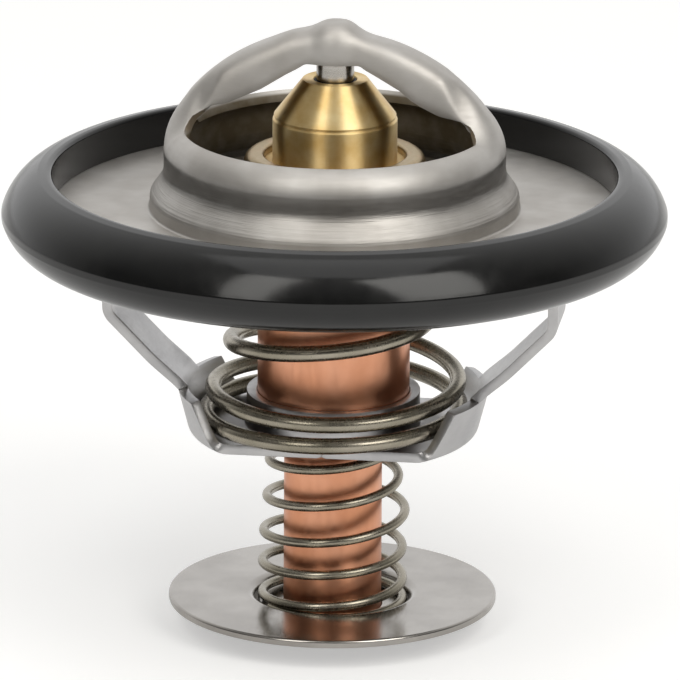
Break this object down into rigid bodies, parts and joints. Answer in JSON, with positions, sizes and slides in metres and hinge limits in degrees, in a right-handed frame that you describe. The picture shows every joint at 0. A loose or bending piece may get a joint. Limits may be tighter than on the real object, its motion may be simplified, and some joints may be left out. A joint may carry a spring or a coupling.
{
  "type": "engine thermostat",
  "caption": "Wax-element engine thermostat: a domed two-arm frame in a rubber seal ring, a sprung poppet valve on a copper cup, and a sprung bypass disc on its tail.",
  "frame": {"origin": "on the valve axis, in the middle of the flange's thickness, where the seal ring is widest", "axes": "+Z along the valve axis to the dome, +X along the dome's arms and the cage's legs"},
  "size_m": [0.067, 0.067, 0.0632],
  "materials": {
    "stainless_sheet": "drawn sheet, satin",
    "seal_rubber": "moulded, semi-matt",
    "piston_steel": "ground",
    "brass": "turned",
    "copper": "drawn copper, satin",
    "wiper_rubber": "moulded",
    "boot_rubber": "moulded",
    "ptfe": "plain",
    "wax": "copper-filled wax",
    "valve_steel": "pressed sheet",
    "valve_rubber": "moulded",
    "spring_steel": "drawn wire",
    "cage_steel": "pressed sheet",
    "disc_steel": "pressed sheet"
  },
  "bodies": {
    "frame": {"frame": "stainless_sheet", "seal_ring": "seal_rubber", "piston": "piston_steel", "cage": "cage_steel", "main_spring": "spring_steel"},
    "element": {"element_cup": "copper", "wax": "wax", "boot": "boot_rubber", "backup_washer": "ptfe", "piston_guide": "brass", "nose_wiper": "wiper_rubber", "valve_plate": "valve_steel", "valve_seal": "valve_rubber", "bypass_spring": "spring_steel", "lock_washer": "brass"},
    "bypass": {"bypass_disc": "disc_steel"}
  },
  "joints": [
    {"name": "valve_slide", "type": "slide", "parent": "frame", "child": "element", "axis": [0, 0, -1], "range_m": [0, 0.008], "stiffness_N_per_m": 5500, "springref_m": -0.012, "deforming": ["main_spring"]},
    {"name": "bypass_slide", "type": "slide", "parent": "element", "child": "bypass", "axis": [0, 0, 1], "range_m": [0, 0.006], "stiffness_N_per_m": 600, "springref_m": -0.01, "deforming": ["bypass_spring"]}
  ]
}
